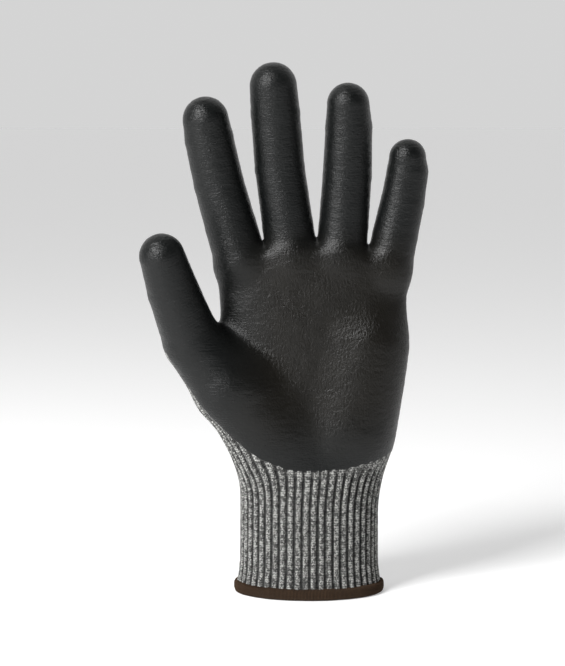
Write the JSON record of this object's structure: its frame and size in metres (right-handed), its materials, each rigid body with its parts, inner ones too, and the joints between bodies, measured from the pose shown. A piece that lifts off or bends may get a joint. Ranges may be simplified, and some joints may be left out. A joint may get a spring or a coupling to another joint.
{
  "type": "cut resistant glove",
  "caption": "Left-hand cut resistant work glove with a seamless knitted liner, a black coating over the palm and fingers, a ribbed elastic cuff and a brown overlocked hem",
  "frame": {"origin": "centre of the cuff's mouth, in the plane of the hem's flat foot", "axes": "+X from the thumb side to the little finger side, +Y out of the back of the hand, +Z from the cuff to the fingertips; the palm faces -Y"},
  "size_m": [0.1334, 0.0623, 0.249],
  "materials": {
    "liner_knit": "grey salt-and-pepper knitted yarn",
    "cuff_knit": "grey melange ribbed knit",
    "palm_coating": "semi-matte black dipped coating",
    "hem_thread": "brown overlock thread",
    "elastic_yarn": "pale covered elastic"
  },
  "bodies": {
    "cuff": {"cuff_rib_knit": "cuff_knit", "cuff_elastic_yarns": "elastic_yarn", "hem_overlock_thread": "hem_thread"},
    "palm": {"palm_liner": "liner_knit", "palm_coating": "palm_coating"},
    "thumb_base": {"thumb_base_liner": "liner_knit", "thumb_base_coating": "palm_coating"},
    "thumb_tip": {"thumb_tip_liner": "liner_knit", "thumb_tip_coating": "palm_coating"},
    "index_base": {"index_base_liner": "liner_knit", "index_base_coating": "palm_coating"},
    "index_mid": {"index_mid_liner": "liner_knit", "index_mid_coating": "palm_coating"},
    "index_tip": {"index_tip_liner": "liner_knit", "index_tip_coating": "palm_coating"},
    "middle_base": {"middle_base_liner": "liner_knit", "middle_base_coating": "palm_coating"},
    "middle_mid": {"middle_mid_liner": "liner_knit", "middle_mid_coating": "palm_coating"},
    "middle_tip": {"middle_tip_liner": "liner_knit", "middle_tip_coating": "palm_coating"},
    "ring_base": {"ring_base_liner": "liner_knit", "ring_base_coating": "palm_coating"},
    "ring_mid": {"ring_mid_liner": "liner_knit", "ring_mid_coating": "palm_coating"},
    "ring_tip": {"ring_tip_liner": "liner_knit", "ring_tip_coating": "palm_coating"},
    "little_base": {"little_base_liner": "liner_knit", "little_base_coating": "palm_coating"},
    "little_mid": {"little_mid_liner": "liner_knit", "little_mid_coating": "palm_coating"},
    "little_tip": {"little_tip_liner": "liner_knit", "little_tip_coating": "palm_coating"}
  },
  "joints": [
    {"name": "wrist_bend", "type": "hinge", "parent": "cuff", "child": "palm", "pos_m": [0, 0, 0.05], "axis": [1, 0, 0], "range_deg": [-35, 35]},
    {"name": "thumb_root_bend", "type": "hinge", "parent": "palm", "child": "thumb_base", "pos_m": [-0.054, -0.014, 0.1197], "axis": [0.6202, 0.6744, 0.4007], "range_deg": [0, 38]},
    {"name": "thumb_tip_bend", "type": "hinge", "parent": "thumb_base", "child": "thumb_tip", "pos_m": [-0.06286, -0.02056, 0.14446], "axis": [0.6202, 0.6744, 0.4007], "range_deg": [0, 60]},
    {"name": "index_root_bend", "type": "hinge", "parent": "palm", "child": "index_base", "pos_m": [-0.0367, 0, 0.1732], "axis": [1, 0, 0], "range_deg": [-12, 58]},
    {"name": "index_middle_bend", "type": "hinge", "parent": "index_base", "child": "index_mid", "pos_m": [-0.0423, -0.0011, 0.19341], "axis": [0.9715, -0.0213, 0.2359], "range_deg": [0, 60]},
    {"name": "index_tip_bend", "type": "hinge", "parent": "index_mid", "child": "index_tip", "pos_m": [-0.04664, -0.00366, 0.2138], "axis": [0.9837, -0.0302, 0.1774], "range_deg": [0, 32]},
    {"name": "middle_root_bend", "type": "hinge", "parent": "palm", "child": "middle_base", "pos_m": [-0.0101, 0, 0.1732], "axis": [1, 0, 0], "range_deg": [-12, 60]},
    {"name": "middle_middle_bend", "type": "hinge", "parent": "middle_base", "child": "middle_mid", "pos_m": [-0.01385, -0.00141, 0.1999], "axis": [0.9941, -0.0095, 0.1081], "range_deg": [0, 70]},
    {"name": "middle_tip_bend", "type": "hinge", "parent": "middle_mid", "child": "middle_tip", "pos_m": [-0.01588, -0.00458, 0.22563], "axis": [0.9979, -0.0107, 0.0637], "range_deg": [0, 35]},
    {"name": "ring_root_bend", "type": "hinge", "parent": "palm", "child": "ring_base", "pos_m": [0.0159, 0, 0.1732], "axis": [1, 0, 0], "range_deg": [-12, 60]},
    {"name": "ring_middle_bend", "type": "hinge", "parent": "ring_base", "child": "ring_mid", "pos_m": [0.01754, -0.00123, 0.19661], "axis": [0.9989, 0.0042, -0.0477], "range_deg": [0, 70]},
    {"name": "ring_tip_bend", "type": "hinge", "parent": "ring_mid", "child": "ring_tip", "pos_m": [0.01812, -0.00397, 0.21893], "axis": [1, 0.0007, -0.0044], "range_deg": [0, 35]},
    {"name": "little_root_bend", "type": "hinge", "parent": "palm", "child": "little_base", "pos_m": [0.04, 0, 0.1685], "axis": [1, 0, 0], "range_deg": [-12, 58]},
    {"name": "little_middle_bend", "type": "hinge", "parent": "little_base", "child": "little_mid", "pos_m": [0.04343, -0.00086, 0.18462], "axis": [0.9841, 0.0157, -0.1767], "range_deg": [0, 58]},
    {"name": "little_tip_bend", "type": "hinge", "parent": "little_mid", "child": "little_tip", "pos_m": [0.04555, -0.00263, 0.19885], "axis": [0.9932, 0.0193, -0.1145], "range_deg": [0, 30]}
  ],
  "couplings": [
    {"joint": "index_tip_bend", "follows": "index_middle_bend", "ratio": 0.49},
    {"joint": "middle_tip_bend", "follows": "middle_middle_bend", "ratio": 0.49},
    {"joint": "ring_tip_bend", "follows": "ring_middle_bend", "ratio": 0.49},
    {"joint": "little_tip_bend", "follows": "little_middle_bend", "ratio": 0.49}
  ]
}
